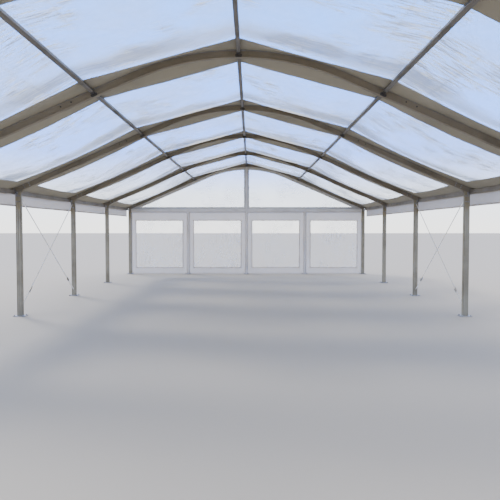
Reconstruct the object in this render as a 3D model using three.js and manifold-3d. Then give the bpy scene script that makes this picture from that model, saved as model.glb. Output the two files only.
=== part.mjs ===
// Clear-span frame marquee with curved-crown portal frames and clear roof sheets.
// Millimetres, +Z up. The origin is on the ground in the middle of the tent; +Y runs to the rear gable.
import * as THREE from "three";
import { mergeVertices } from "three/addons/utils/BufferGeometryUtils.js";
import Module from "manifold-3d";

// Driving dimensions
const BAY = 3000; // spacing of the frames along Y
const FRAME_NAMES = ["a", "b", "c", "d", "e", "f"]; // a is the open front, f the rear gable
const POST_X = 3950; // from the middle of the tent to a post's centre line
const EAVE_Z = 2250; // where the centre lines of post and rafter cross
const ROOF_PITCH = THREE.MathUtils.degToRad(23.5);
const CROWN_RADIUS = 3260; // centre line of the curved crown, tangent to the straight rafters
const PROFILE_DEPTH = 100; // posts, rafters and gable beam, in the plane of the frame
const PROFILE_WIDTH = 60; // the same profiles along Y
const PURLIN = 48; // square tube
const SIDE_PURLIN_X = 1760;
const RAIL_WIDTH = 60; // eave rail, outside the posts
const RAIL_BOTTOM_Z = 2160;
const EAVE_SLOT = 34; // between the rail and the roof sheet above it
const SHEET_LIFT = 37; // underside of the roof sheet above the rafter's centre line
const SHEET_THICKNESS = 6;
const VALANCE_BOTTOM_Z = 1950;
const VALANCE_THICKNESS = 4;
const BASE_PLATE = 200;
const BASE_PLATE_THICKNESS = 10;
const GABLE_BEAM_BOTTOM_Z = 2110;
const KING_POST_DEPTH = 40; // along Y, half-lapped into the gable beam
const UPRIGHT = 60; // square tube
const WALL_THICKNESS = 5;
const WALL_FOOT_Z = 12;
const WINDOW_SIDE_BORDER = 165;
const WINDOW_BOTTOM_Z = 225;
const WINDOW_TOP_Z = 1810;
const WINDOW_THICKNESS = 3;
const BRACE_WIDTH = 25; // wind-brace strap
const BRACE_THICKNESS = 4;
const BRACED_BAY = 2; // counted from the front, so between frames c and d
const BRACE_TOP_Z = 2130;
const BRACE_BOTTOM_Z = 130;
const GAP = 0.3; // between pieces that touch

// Values worked out from them
const ARC_STEPS = 20;
const bayCount = FRAME_NAMES.length - 1;
const frontY = (-BAY * bayCount) / 2;
const rearY = -frontY;
const frameY = (index) => frontY + index * BAY;
const slope = Math.tan(ROOF_PITCH);
const halfDepth = PROFILE_DEPTH / 2;
const halfWidth = PROFILE_WIDTH / 2;
const tangentX = CROWN_RADIUS * Math.sin(ROOF_PITCH);
const tangentZ = EAVE_Z + (POST_X - tangentX) * slope;
const crownZ = tangentZ - CROWN_RADIUS * Math.cos(ROOF_PITCH); // centre of the crown's arc
const postInnerX = POST_X - halfDepth;
const postOuterX = POST_X + halfDepth;
const railOuterX = postOuterX + GAP + RAIL_WIDTH;
const sheetEndX = railOuterX + GAP + VALANCE_THICKNESS + 4;
const gableBeamTopZ = GABLE_BEAM_BOTTOM_Z + PROFILE_DEPTH;
const clearBay = BAY - PROFILE_WIDTH - 2 * GAP; // between two neighbouring frames
const coveredLength = BAY * bayCount + PROFILE_WIDTH;
const SIDES = { left: -1, right: 1 };

// Height of a straight rafter's line at x, for a line offset from the centre line along its normal
const rafterZ = (x, offset) => EAVE_Z + (POST_X - x) * slope + offset / Math.cos(ROOF_PITCH);

const paint = (color, roughness, metalness) =>
  new THREE.MeshStandardMaterial({ color, roughness, metalness });
const aluminium = paint(0x9b9a98, 0.45, 0.9);
const darkAluminium = paint(0x6f6d69, 0.5, 0.85);
const whiteFabric = paint(0xe6e6e2, 0.7, 0);
const webbing = paint(0xd1ccb8, 0.8, 0);
const clearFilm = paint(0xcfdde6, 0.15, 0);
clearFilm.transparent = true;
clearFilm.opacity = 0.35;

const marquee = new THREE.Group();

function addMesh(name, geometry, material) {
  const mesh = new THREE.Mesh(geometry, material);
  mesh.name = name;
  marquee.add(mesh);
  return mesh;
}

// A shape drawn in X and Z, extruded along Y between two places
function plateAcross(shape, fromY, toY) {
  const options = { depth: toY - fromY, bevelEnabled: false, curveSegments: ARC_STEPS };
  return new THREE.ExtrudeGeometry(shape, options).rotateX(Math.PI / 2).translate(0, toY, 0);
}

function boxBetween(low, high) {
  const size = high.map((value, axis) => value - low[axis]);
  const middle = high.map((value, axis) => (value + low[axis]) / 2);
  return new THREE.BoxGeometry(...size).translate(...middle);
}

const polygon = (points) => new THREE.Shape(points.map(([x, z]) => new THREE.Vector2(x, z)));

// Joins overlapping closed geometries into one body
const wasm = await Module();
wasm.setup();

function solidOf(geometry) {
  const plain = geometry.clone();
  plain.deleteAttribute("normal");
  plain.deleteAttribute("uv");
  const merged = mergeVertices(plain, 1e-3);
  return new wasm.Manifold(
    new wasm.Mesh({
      numProp: 3,
      vertProperties: new Float32Array(merged.attributes.position.array),
      triVerts: new Uint32Array(merged.index.array),
    }),
  );
}

function join(first, ...others) {
  const joined = others.reduce((sum, next) => sum.add(solidOf(next)), solidOf(first)).getMesh();
  const geometry = new THREE.BufferGeometry();
  geometry.setAttribute("position", new THREE.BufferAttribute(joined.vertProperties, 3));
  geometry.setIndex(new THREE.BufferAttribute(joined.triVerts, 1));
  return geometry;
}

// The outline of a band that follows the roof: straight, curved over the crown, and straight again
function roofBand(lowOffset, highOffset, endX) {
  const rise = Math.PI / 2;
  const shape = new THREE.Shape();
  shape.moveTo(endX, rafterZ(endX, lowOffset));
  shape.lineTo(endX, rafterZ(endX, highOffset));
  shape.absarc(0, crownZ, CROWN_RADIUS + highOffset, rise - ROOF_PITCH, rise + ROOF_PITCH, false);
  shape.lineTo(-endX, rafterZ(endX, highOffset));
  shape.lineTo(-endX, rafterZ(endX, lowOffset));
  shape.absarc(0, crownZ, CROWN_RADIUS + lowOffset, rise + ROOF_PITCH, rise - ROOF_PITCH, true);
  shape.closePath();
  return shape;
}

// Posts: a box profile on a welded base plate, its head cut to the rafter's slope
function post(side, y) {
  const headZ = (x) => rafterZ(x, -halfDepth) - GAP;
  const shaft = polygon([
    [side * postInnerX, BASE_PLATE_THICKNESS / 2],
    [side * postOuterX, BASE_PLATE_THICKNESS / 2],
    [side * postOuterX, headZ(postOuterX)],
    [side * postInnerX, headZ(postInnerX)],
  ]);
  return join(plateAcross(shaft, y - halfWidth, y + halfWidth), basePlate(side * POST_X, y));
}

function basePlate(x, y) {
  const half = BASE_PLATE / 2;
  return boxBetween([x - half, y - half, 0], [x + half, y + half, BASE_PLATE_THICKNESS]);
}

// Rafters: one curved-crown beam for each frame, from eave to eave
const rafterOutline = roofBand(-halfDepth, halfDepth, postOuterX);
FRAME_NAMES.forEach((name, index) => {
  const y = frameY(index);
  for (const [sideName, side] of Object.entries(SIDES))
    addMesh(`post_${name}_${sideName}`, post(side, y), aluminium);
  addMesh(`rafter_${name}`, plateAcross(rafterOutline, y - halfWidth, y + halfWidth), aluminium);
});

// Purlins: square tubes between the frames, under the roof sheet at the crown and on each slope
const purlinLift = SHEET_LIFT - GAP - PURLIN / 2;
const purlinTube = new THREE.BoxGeometry(PURLIN, clearBay, PURLIN);
const ridgePurlinZ = crownZ + CROWN_RADIUS + purlinLift - GAP;
const purlinPlaces = [["ridge_purlin", 0, ridgePurlinZ, 0]];
for (const [sideName, side] of Object.entries(SIDES)) {
  const x = side * (SIDE_PURLIN_X + purlinLift * Math.sin(ROOF_PITCH));
  const z = rafterZ(SIDE_PURLIN_X, 0) + purlinLift * Math.cos(ROOF_PITCH);
  purlinPlaces.push([`side_purlin_${sideName}`, x, z, side * ROOF_PITCH]);
}

// Roof sheets: one for each bay, from rafter to rafter and over both eave rails
const roofOutline = roofBand(SHEET_LIFT, SHEET_LIFT + SHEET_THICKNESS, sheetEndX);
for (let bay = 0; bay < bayCount; bay++) {
  const startY = frameY(bay) + halfWidth + GAP;
  const endY = startY + clearBay;
  for (const [name, x, z, turn] of purlinPlaces) {
    const tube = addMesh(`${name}_${bay + 1}`, purlinTube, darkAluminium);
    tube.position.set(x, (startY + endY) / 2, z);
    tube.rotation.y = turn;
  }
  addMesh(`roof_sheet_${bay + 1}`, plateAcross(roofOutline, startY, endY), clearFilm);
}

// Eaves: a rail along the outer faces of the posts, and the fabric valance that hangs on it
for (const [sideName, side] of Object.entries(SIDES)) {
  const underSheet = (x) => rafterZ(x, SHEET_LIFT) - GAP;
  const railInnerX = postOuterX + GAP;
  const rail = polygon([
    [side * railInnerX, RAIL_BOTTOM_Z],
    [side * railOuterX, RAIL_BOTTOM_Z],
    [side * railOuterX, underSheet(railOuterX) - EAVE_SLOT],
    [side * railInnerX, underSheet(railInnerX) - EAVE_SLOT],
  ]);
  const start = -coveredLength / 2;
  const end = coveredLength / 2;
  addMesh(`eave_rail_${sideName}`, plateAcross(rail, start, end), aluminium);

  const valanceX = railOuterX + GAP;
  const outerX = valanceX + VALANCE_THICKNESS;
  const valance = polygon([
    [side * valanceX, VALANCE_BOTTOM_Z],
    [side * outerX, VALANCE_BOTTOM_Z],
    [side * outerX, underSheet(outerX)],
    [side * valanceX, underSheet(valanceX)],
  ]);
  addMesh(`valance_${sideName}`, plateAcross(valance, start, end), whiteFabric);
}

// Rear gable: a beam at eave height, notched for the king post that runs up to the crown
const kingFrontY = rearY - halfWidth;
const kingBackY = kingFrontY + KING_POST_DEPTH;
const halfUpright = UPRIGHT / 2;
{
  const beamEndX = postInnerX - GAP;
  const notchX = halfUpright + GAP;
  const plan = polygon([
    [-beamEndX, rearY - halfWidth],
    [-notchX, rearY - halfWidth],
    [-notchX, kingBackY + GAP],
    [notchX, kingBackY + GAP],
    [notchX, rearY - halfWidth],
    [beamEndX, rearY - halfWidth],
    [beamEndX, rearY + halfWidth],
    [-beamEndX, rearY + halfWidth],
  ]);
  const beam = new THREE.ExtrudeGeometry(plan, { depth: PROFILE_DEPTH, bevelEnabled: false });
  addMesh("gable_beam", beam.translate(0, 0, GABLE_BEAM_BOTTOM_Z), aluminium);

  const kingTopZ = crownZ + CROWN_RADIUS - halfDepth - 2 * GAP;
  const kingShaft = boxBetween(
    [-halfUpright, kingFrontY, BASE_PLATE_THICKNESS / 2],
    [halfUpright, kingBackY, kingTopZ],
  );
  addMesh("king_post", join(kingShaft, basePlate(0, rearY)), aluminium);
}

// Side uprights of the gable wall, halfway between the king post and the corner posts
const uprightX = POST_X / 2;
const wallTopZ = GABLE_BEAM_BOTTOM_Z - GAP;
for (const [sideName, side] of Object.entries(SIDES)) {
  const shaft = boxBetween(
    [side * uprightX - halfUpright, rearY - halfUpright, BASE_PLATE_THICKNESS / 2],
    [side * uprightX + halfUpright, rearY + halfUpright, wallTopZ],
  );
  addMesh(`gable_upright_${sideName}`, join(shaft, basePlate(side * uprightX, rearY)), aluminium);
}

// Gable wall: four fabric curtains between the uprights, each with a window of clear film
const wallMiddleY = (kingFrontY + kingBackY) / 2;
const outerCurtain = [uprightX + halfUpright + GAP, postInnerX - GAP];
const innerCurtain = [halfUpright + GAP, uprightX - halfUpright - GAP];
const curtains = [];
for (const [sideName, side] of Object.entries(SIDES))
  for (const [placeName, span] of Object.entries({ outer: outerCurtain, inner: innerCurtain })) {
    const edges = span.map((x) => side * x).sort((first, second) => first - second);
    curtains.push([`${placeName}_${sideName}`, ...edges]);
  }
for (const [place, lowX, highX] of curtains) {
  const basePlateClearZ = Math.max(WALL_FOOT_Z, BASE_PLATE_THICKNESS + GAP);
  const curtain = polygon([
    [lowX, basePlateClearZ],
    [highX, basePlateClearZ],
    [highX, wallTopZ],
    [lowX, wallTopZ],
  ]);
  const windowCorners = (inset) => [
    [lowX + WINDOW_SIDE_BORDER + inset, WINDOW_BOTTOM_Z + inset],
    [highX - WINDOW_SIDE_BORDER - inset, WINDOW_BOTTOM_Z + inset],
    [highX - WINDOW_SIDE_BORDER - inset, WINDOW_TOP_Z - inset],
    [lowX + WINDOW_SIDE_BORDER + inset, WINDOW_TOP_Z - inset],
  ];
  curtain.holes.push(new THREE.Path(windowCorners(0).map(([x, z]) => new THREE.Vector2(x, z))));
  const half = WALL_THICKNESS / 2;
  const wall = plateAcross(curtain, wallMiddleY - half, wallMiddleY + half);
  addMesh(`gable_wall_${place}`, wall, whiteFabric);

  const halfFilm = WINDOW_THICKNESS / 2;
  const film = polygon(windowCorners(GAP));
  const pane = plateAcross(film, wallMiddleY - halfFilm, wallMiddleY + halfFilm);
  addMesh(`gable_window_${place}`, pane, clearFilm);
}

// Clear sheet that closes the gable between the beam and the rafter, on their outer faces
{
  const outline = new THREE.Shape();
  const edgeX = postOuterX - 10;
  outline.moveTo(-edgeX, GABLE_BEAM_BOTTOM_Z);
  outline.lineTo(edgeX, GABLE_BEAM_BOTTOM_Z);
  outline.lineTo(edgeX, rafterZ(edgeX, 0));
  const rise = Math.PI / 2;
  outline.absarc(0, crownZ, CROWN_RADIUS, rise - ROOF_PITCH, rise + ROOF_PITCH, false);
  outline.lineTo(-edgeX, rafterZ(edgeX, 0));
  outline.closePath();
  const startY = rearY + halfWidth + GAP;
  addMesh("gable_sheet", plateAcross(outline, startY, startY + WALL_THICKNESS), clearFilm);
}

// Wind bracing: two crossed straps on each side, from post to post of one bay
{
  const startY = frameY(BRACED_BAY) + halfWidth + GAP;
  const endY = startY + clearBay;
  const halfHeight = (BRACE_WIDTH / 2) * Math.hypot(1, (BRACE_TOP_Z - BRACE_BOTTOM_Z) / clearBay);
  const beside = BRACE_THICKNESS / 2 + 2; // the two straps pass each other at the crossing
  const runs = {
    rising: [BRACE_BOTTOM_Z, BRACE_TOP_Z, -beside],
    falling: [BRACE_TOP_Z, BRACE_BOTTOM_Z, beside],
  };
  for (const [sideName, side] of Object.entries(SIDES))
    for (const [runName, [startZ, endZ, shift]] of Object.entries(runs)) {
      // drawn in Y and Z, then turned so that the extrusion runs along X
      const run = polygon([
        [startY, startZ - halfHeight],
        [endY, endZ - halfHeight],
        [endY, endZ + halfHeight],
        [startY, startZ + halfHeight],
      ]);
      const strap = new THREE.ExtrudeGeometry(run, { depth: BRACE_THICKNESS, bevelEnabled: false });
      strap.rotateX(Math.PI / 2).rotateZ(Math.PI / 2);
      strap.translate(side * POST_X + shift - BRACE_THICKNESS / 2, 0, 0);
      addMesh(`brace_${runName}_${sideName}`, strap, webbing);
    }
}

export default marquee;
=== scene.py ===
import math

import bmesh
import bpy
from mathutils import Matrix, Vector, noise


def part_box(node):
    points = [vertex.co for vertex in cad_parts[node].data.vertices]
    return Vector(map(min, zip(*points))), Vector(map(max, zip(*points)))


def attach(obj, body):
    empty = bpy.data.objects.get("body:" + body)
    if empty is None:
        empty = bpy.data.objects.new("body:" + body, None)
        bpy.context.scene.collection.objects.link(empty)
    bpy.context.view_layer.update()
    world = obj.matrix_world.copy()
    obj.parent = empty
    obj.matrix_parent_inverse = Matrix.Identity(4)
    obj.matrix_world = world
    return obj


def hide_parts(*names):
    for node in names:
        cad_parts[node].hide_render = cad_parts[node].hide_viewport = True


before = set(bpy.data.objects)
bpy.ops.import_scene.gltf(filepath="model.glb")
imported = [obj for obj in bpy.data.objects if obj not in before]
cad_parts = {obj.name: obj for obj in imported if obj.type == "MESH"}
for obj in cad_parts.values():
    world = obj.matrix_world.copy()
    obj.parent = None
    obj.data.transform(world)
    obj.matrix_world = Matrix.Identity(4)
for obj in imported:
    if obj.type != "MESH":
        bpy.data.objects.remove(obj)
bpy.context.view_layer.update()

root = "root"

# Camera. It stands on the ground in front of the open end, at eye height and a little right of the
# ridge, and looks along the tent and slightly down.
PHOTO_SIDE = 500
FOCAL_PIXELS = 554
camera_data = bpy.data.cameras.new("camera")
camera_data.sensor_width = 36
camera_data.lens = camera_data.sensor_width * FOCAL_PIXELS / PHOTO_SIDE
camera_data.clip_end = 400
camera = bpy.data.objects.new("camera", camera_data)
camera.location = (0.15, -11.3, 1.57)
camera.rotation_euler = (math.radians(87.7), 0, math.radians(0.1))
bpy.context.scene.collection.objects.link(camera)
bpy.context.scene.camera = camera


# Posts. Each is an aluminium box profile with tracks for the fabric's edges on both wide sides, its head
# cut to the rafter's slope. It stands on a steel base plate, in a raised rim, and four bolts hold the
# plate down.
FRAME_NAMES = "abcdef"
SIDES = {"left": -1, "right": 1}
POST_X = 3.95
EAVE_Z = 2.25
PITCH = math.radians(23.5)
SLOPE = math.tan(PITCH)
PROFILE_DEPTH = 0.1
PROFILE_WIDTH = 0.06
PROFILE_CORNER = 0.004
TRACK_SLOT = 0.009
TRACK_DEPTH = 0.008
TRACK_LIFT = 0.0375  # the fabric's edge above the profile's centre line
SEAT = 0.0003  # between seated parts
CLEARANCE = 0.0005  # between parts that only stand close
BASE_PLATE = 0.2
BASE_PLATE_THICKNESS = 0.01
BASE_PLATE_BEVEL = 0.002
BASE_RIM = 0.006
BASE_RIM_BEVEL = 0.004
BASE_BOLT = 0.012
BOLT_INSET = 0.025  # from the plate's edges
MID_CUT = 1.0  # the height of a cut across the uprights' long faces


def frame_y(name):
    low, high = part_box("rafter_" + name)
    return (low.y + high.y) / 2


def profile_points(depth, width, corner, tracks=()):
    """An extrusion's outline, across its depth and width, with rounded corners and narrow tracks."""
    half_depth, half_width = depth / 2, width / 2
    bend = corner * 0.3  # how far the middle of a rounded corner stands in
    side = [(-half_depth + corner, half_width)]
    for place in sorted(tracks):
        start, end, bed = place - TRACK_SLOT / 2, place + TRACK_SLOT / 2, half_width - TRACK_DEPTH
        side += [(start, half_width), (start, bed), (end, bed), (end, half_width)]
    side += [(half_depth - corner, half_width), (half_depth - bend, half_width - bend)]
    side += [(half_depth, half_width - corner)]
    upper = [(-half_depth, half_width - corner), (-half_depth + bend, half_width - bend), *side]
    return upper + [(a, -b) for a, b in reversed(upper)]


def shift(mesh, *offset):
    bmesh.ops.translate(mesh, vec=offset, verts=mesh.verts)


def reshape(mesh, place):
    """Moves each point to where place puts it."""
    for point in mesh.verts:
        point.co = place(*point.co)


def face_outward(mesh):
    bmesh.ops.recalc_face_normals(mesh, faces=mesh.faces)


def extrude(mesh, face, offset):
    """Extrudes a face by an offset, and gives the new face."""
    grown = bmesh.ops.extrude_face_region(mesh, geom=[face])["geom"]
    moved = [part for part in grown if isinstance(part, bmesh.types.BMVert)]
    bmesh.ops.translate(mesh, verts=moved, vec=offset)
    return next(part for part in grown if isinstance(part, bmesh.types.BMFace))


def store_flat(mesh, place):
    """Keeps a flat surface as UVs. place gives the flat place of a point."""
    flat = mesh.loops.layers.uv.new("flat")
    for face in mesh.faces:
        for loop in face.loops:
            loop[flat].uv = place(loop.vert.co)


def new_bar(outline, stations):
    """A bar along X through the stations, its outline in Z and Y."""
    mesh = bmesh.new()
    cap = mesh.faces.new([mesh.verts.new((stations[0], b, a)) for a, b in outline])
    for start, end in zip(stations, stations[1:]):
        cap = extrude(mesh, cap, (end - start, 0, 0))
    face_outward(mesh)
    store_flat(mesh, lambda point: (point.x, point.y + point.z))
    return mesh


def new_piece(name, mesh, *materials, smooth=None):
    """The finished mesh as a piece of the root body. Edges under smooth degrees are shaded round."""
    data = bpy.data.meshes.new(name)
    mesh.to_mesh(data)
    mesh.free()
    for material in materials:
        data.materials.append(material)
    piece = bpy.data.objects.new(name, data)
    bpy.context.scene.collection.objects.link(piece)
    if smooth:
        data.shade_smooth()
        data.set_sharp_from_angle(angle=math.radians(smooth))
    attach(piece, root)
    return piece


def add_to(mesh, part):
    """Puts a finished part into a mesh, and frees the part."""
    data = bpy.data.meshes.new("part")
    part.to_mesh(data)
    part.free()
    mesh.from_mesh(data)
    bpy.data.meshes.remove(data)


def new_box(first, second, bevel=0.0, segments=1):
    """A box between two opposite corners, its edges rounded by the bevel."""
    mesh = bmesh.new()
    bmesh.ops.create_cube(mesh, size=1)
    size = [abs(end - start) for start, end in zip(first, second)]
    bmesh.ops.scale(mesh, vec=size, verts=mesh.verts)
    shift(mesh, *(Vector(first) + Vector(second)) / 2)
    if bevel:
        bmesh.ops.bevel(mesh, geom=mesh.edges[:], offset=bevel, segments=segments, profile=0.5,
                        affect="EDGES", material=-1)
    return mesh


def add_rod(mesh, sides, radius, depth, middle, taper=1.0):
    """A closed rod along Z in a mesh, its middle at a place, and its upper end narrower by the taper."""
    bmesh.ops.create_cone(mesh, cap_ends=True, segments=sides, radius1=radius, radius2=radius * taper,
                          depth=depth, matrix=Matrix.Translation(middle))


def new_bolt(place, normal, radius, height):
    """A hexagon head on a washer, standing on a face at a place."""
    mesh = bmesh.new()
    washer = height * 0.3
    add_rod(mesh, 16, radius * 1.5, washer, (0, 0, washer / 2))
    add_rod(mesh, 6, radius, height, (0, 0, washer + height / 2), taper=0.94)
    turn = Vector((0, 0, 1)).rotation_difference(Vector(normal)).to_matrix().to_4x4()
    bmesh.ops.transform(mesh, matrix=Matrix.Translation(place) @ turn, verts=mesh.verts)
    return mesh


def new_foot(low, high, bolt_radius):
    """A base plate on the ground between two corners, with a bolt near each corner."""
    foot = new_box((low[0], low[1], 0), (high[0], high[1], BASE_PLATE_THICKNESS), BASE_PLATE_BEVEL)
    for x in (low[0] + BOLT_INSET, high[0] - BOLT_INSET):
        for y in (low[1] + BOLT_INSET, high[1] - BOLT_INSET):
            bolt = new_bolt((x, y, BASE_PLATE_THICKNESS), (0, 0, 1), bolt_radius, bolt_radius + 0.002)
            add_to(foot, bolt)
    return foot


def shader_node(tree, kind, inputs=(), **settings):
    """One node with its settings, and a value or a link for each named input."""
    made = tree.nodes.new("ShaderNode" + kind)
    for name, value in settings.items():
        setattr(made, name, value)
    for name, value in dict(inputs).items():
        if isinstance(value, bpy.types.NodeSocket):
            tree.links.new(value, made.inputs[name])
        else:
            made.inputs[name].default_value = value
    return made


def shader_math(tree, operation, *values, clamp=False):
    return shader_node(tree, "Math", dict(enumerate(values)), operation=operation, use_clamp=clamp).outputs[0]


def shader_fade(tree, value, start, end, kind="SMOOTHSTEP"):
    """A mask that is 0 where the value is at start and 1 where it is at end."""
    ends = {"Value": value, "From Min": start, "From Max": end}
    return shader_node(tree, "MapRange", ends, interpolation_type=kind).outputs["Result"]


def shader_noise(tree, vector, scale, detail, roughness=0.5, distortion=0.0):
    inputs = {"Vector": vector, "Scale": scale, "Detail": detail, "Roughness": roughness,
              "Distortion": distortion}
    return shader_node(tree, "TexNoise", inputs).outputs["Fac"]


def shader_stretch(tree, vector, scale):
    return shader_node(tree, "Mapping", {"Vector": vector, "Scale": scale}).outputs["Vector"]


def shader_mix(tree, mask, first, second):
    """The first colour where the mask is 0, and the second where it is 1."""
    inputs = {"Factor": mask, "A": first, "B": second}
    return shader_node(tree, "Mix", inputs, data_type="RGBA").outputs["Result"]


def shader_relief(tree, height, strength, distance, **under):
    """A normal from a height, over another normal where there is one."""
    inputs = {"Height": height, "Strength": strength, "Distance": distance, **under}
    return shader_node(tree, "Bump", inputs).outputs["Normal"]


def new_group(name, inputs, outputs):
    """An empty shader node group with its inputs and outputs, each a name with a kind of socket."""
    group = bpy.data.node_groups.new(name, "ShaderNodeTree")
    for way, sockets in (("INPUT", inputs), ("OUTPUT", outputs)):
        for label, kind in sockets.items():
            group.interface.new_socket(label, in_out=way, socket_type="NodeSocket" + kind)
    return group, group.nodes.new("NodeGroupInput").outputs, group.nodes.new("NodeGroupOutput").inputs


def use_group(tree, group, inputs):
    return shader_node(tree, "Group", inputs, node_tree=group).outputs


def new_material(name, **plain):
    """A material with a Principled BSDF, whose plain inputs are set on its own sockets."""
    material = bpy.data.materials.new(name)
    material.use_nodes = True
    tree = material.node_tree
    tree.nodes.clear()
    surface = shader_node(tree, "BsdfPrincipled", {label.replace("_", " "): v for label, v in plain.items()})
    output = shader_node(tree, "OutputMaterial")
    tree.links.new(surface.outputs["BSDF"], output.inputs["Surface"])
    return material, tree, surface.inputs


def set_surface(tree, surface, colour, roughness, normal):
    """Links a colour, a roughness and a normal to a material's surface."""
    for label, value in (("Base Color", colour), ("Roughness", roughness), ("Normal", normal)):
        tree.links.new(value, surface[label])


def make_grime():
    """Dirt and handling marks: a soft mask of patches, from 0, clean, to 1, dirty, and a fine speckle."""
    group, given, made = new_group("grime", {"Vector": "Vector", "Patch Scale": "Float"},
                                   {"Mask": "Float", "Speckle": "Float"})
    patches = shader_noise(group, given["Vector"], given["Patch Scale"], detail=6.0, roughness=0.62)
    speckle = shader_noise(group, given["Vector"], scale=90.0, detail=3.0)
    group.links.new(shader_fade(group, patches, 0.42, 0.68), made["Mask"])
    group.links.new(shader_fade(group, speckle, 0.55, 0.75, "LINEAR"), made["Speckle"])
    return group


grime = make_grime()


def wear(tree, patch_scale, clean, worn):
    """The places on a piece, its grime, and a colour that turns from clean to worn in its patches."""
    places = shader_node(tree, "TexCoord").outputs
    marks = use_group(tree, grime, {"Vector": places["Object"], "Patch Scale": patch_scale})
    return places, marks, shader_mix(tree, marks["Mask"], clean, worn)


def make_extruded(name, clean, dull, roughness):
    """Mill-finish extrusion: faint lines along its length, and duller patches."""
    material, tree, surface = new_material(name, Metallic=0.35)
    places, marks, colour = wear(tree, 1.6, clean, dull)
    drawn_out = shader_stretch(tree, places["UV"], (0.8, 260.0, 1.0))
    lines = shader_noise(tree, drawn_out, scale=1.0, detail=2.0)
    worn = shader_math(tree, "MULTIPLY_ADD", marks["Mask"], 0.16, roughness)
    gloss = shader_math(tree, "MULTIPLY_ADD", lines, 0.12, worn)
    relief = shader_relief(tree, lines, strength=0.15, distance=0.0006)
    set_surface(tree, surface, colour, gloss, relief)
    return material


# The light warm brown tone of this grey aluminium is painted warm bounce light from the ground.
frame_aluminium = make_extruded("frame_aluminium", (0.262, 0.226, 0.168, 1), (0.205, 0.175, 0.127, 1), 0.5)
# The posts' copy of this aluminium is painted lighter, for the light they catch from the sides and ground.
post_aluminium_painted_lit = make_extruded("post_aluminium_painted_lit", (0.345, 0.3, 0.2, 1), (0.27, 0.23, 0.15, 1), 0.5)


def make_steel(name, clean, worn, roughness, metallic):
    """Zinc-coated or painted steel, with worn patches and a speckled relief."""
    material, tree, surface = new_material(name, Metallic=metallic)
    _, marks, colour = wear(tree, 14.0, clean, worn)
    gloss = shader_math(tree, "MULTIPLY_ADD", marks["Mask"], 0.25, roughness)
    relief = shader_relief(tree, marks["Speckle"], strength=0.2, distance=0.0005)
    set_surface(tree, surface, colour, gloss, relief)
    return material


dark_steel = make_steel("dark_steel", (0.055, 0.053, 0.05, 1), (0.1, 0.085, 0.07, 1), 0.5, 0.4)
zinc_steel = make_steel("zinc_steel", (0.36, 0.36, 0.355, 1), (0.22, 0.2, 0.18, 1), 0.42, 0.85)


def make_post(name, side_name):
    side, y = SIDES[side_name], frame_y(name)
    outline = profile_points(PROFILE_DEPTH, PROFILE_WIDTH, PROFILE_CORNER, (-TRACK_LIFT, 0, TRACK_LIFT))
    post = new_bar(outline, [BASE_PLATE_THICKNESS, MID_CUT, EAVE_Z])
    head = EAVE_Z - PROFILE_DEPTH / 2 / math.cos(PITCH) - SEAT

    def standing(along, across, depth):
        cut = head - depth * SLOPE if along > EAVE_Z / 2 else along
        return side * (POST_X + depth), y + across, cut

    reshape(post, standing)
    face_outward(post)
    piece = new_piece(f"post_profile_{name}_{side_name}", post, post_aluminium_painted_lit, smooth=35)
    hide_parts(f"post_{name}_{side_name}")

    x, half = side * POST_X, BASE_PLATE / 2
    foot = new_foot((x - half, y - half), (x + half, y + half), BASE_BOLT)
    rim_x, rim_y = PROFILE_DEPTH / 2 + BASE_RIM, PROFILE_WIDTH / 2 + BASE_RIM
    rim = new_box((x - rim_x, y - rim_y, BASE_PLATE_THICKNESS),
                  (x + rim_x, y + rim_y, BASE_PLATE_THICKNESS + BASE_RIM), BASE_RIM_BEVEL, segments=2)
    add_to(foot, rim)
    plate = new_piece(f"base_plate_{name}_{side_name}", foot, zinc_steel, smooth=35)


for frame_name in FRAME_NAMES:
    for side_name in SIDES:
        make_post(frame_name, side_name)


# Rafters. One beam for each frame, bent over the crown and straight on both slopes. It is the posts'
# profile, with the fabric's tracks on its sides. Its ends are cut plumb over the posts.
CROWN_RADIUS = 3.26
CROWN_ARC = CROWN_RADIUS * PITCH  # half of the curved length
CROWN_X = CROWN_RADIUS * math.sin(PITCH)  # where the curve ends
CROWN_CENTRE_Z = EAVE_Z + (POST_X - CROWN_X) * SLOPE - CROWN_RADIUS * math.cos(PITCH)
RAFTER_TRACKS = (-0.03, TRACK_LIFT)
SPLICE_ALONG = 2.2
SPLICE_GAP = 0.003
SPLICE_BOLT = 0.07  # from the splice
SPLICE_BOLT_LIFT = 0.004
SLEEVE_INSET = 0.004
SLEEVE_CORNER = 0.002
ARC_STEPS = 28


def roof_point(along, lift):
    """X and Z at a distance along the rafter's centre line from the crown, and lifted off that line."""
    turn = max(-PITCH, min(PITCH, along / CROWN_RADIUS))
    straight = along - turn * CROWN_RADIUS
    x = (CROWN_RADIUS + lift) * math.sin(turn) + straight * math.cos(PITCH)
    z = CROWN_CENTRE_Z + (CROWN_RADIUS + lift) * math.cos(turn) - abs(straight) * math.sin(PITCH)
    return x, z


def roof_along(x):
    """The distance along the rafter from the crown to a place x on its straight slope."""
    return CROWN_ARC + (x - CROWN_X) / math.cos(PITCH)


def mirrored(stations):
    return [-place for place in reversed(stations)]


rafter_half = roof_along(POST_X + PROFILE_DEPTH / 2)
curve = [CROWN_ARC * (step / ARC_STEPS * 2 - 1) for step in range(ARC_STEPS + 1)]
crown_stations = [-SPLICE_ALONG, *curve, SPLICE_ALONG]
leg_stations = [SPLICE_ALONG + SPLICE_GAP, (SPLICE_ALONG + rafter_half) / 2, rafter_half]
sleeve_stations = [SPLICE_ALONG - SPLICE_GAP, SPLICE_ALONG, SPLICE_ALONG + 2 * SPLICE_GAP]
rafter_outline = profile_points(PROFILE_DEPTH, PROFILE_WIDTH, PROFILE_CORNER, RAFTER_TRACKS)
sleeve_outline = profile_points(PROFILE_DEPTH - 2 * SLEEVE_INSET, PROFILE_WIDTH - 2 * SLEEVE_INSET,
                                SLEEVE_CORNER)

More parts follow.
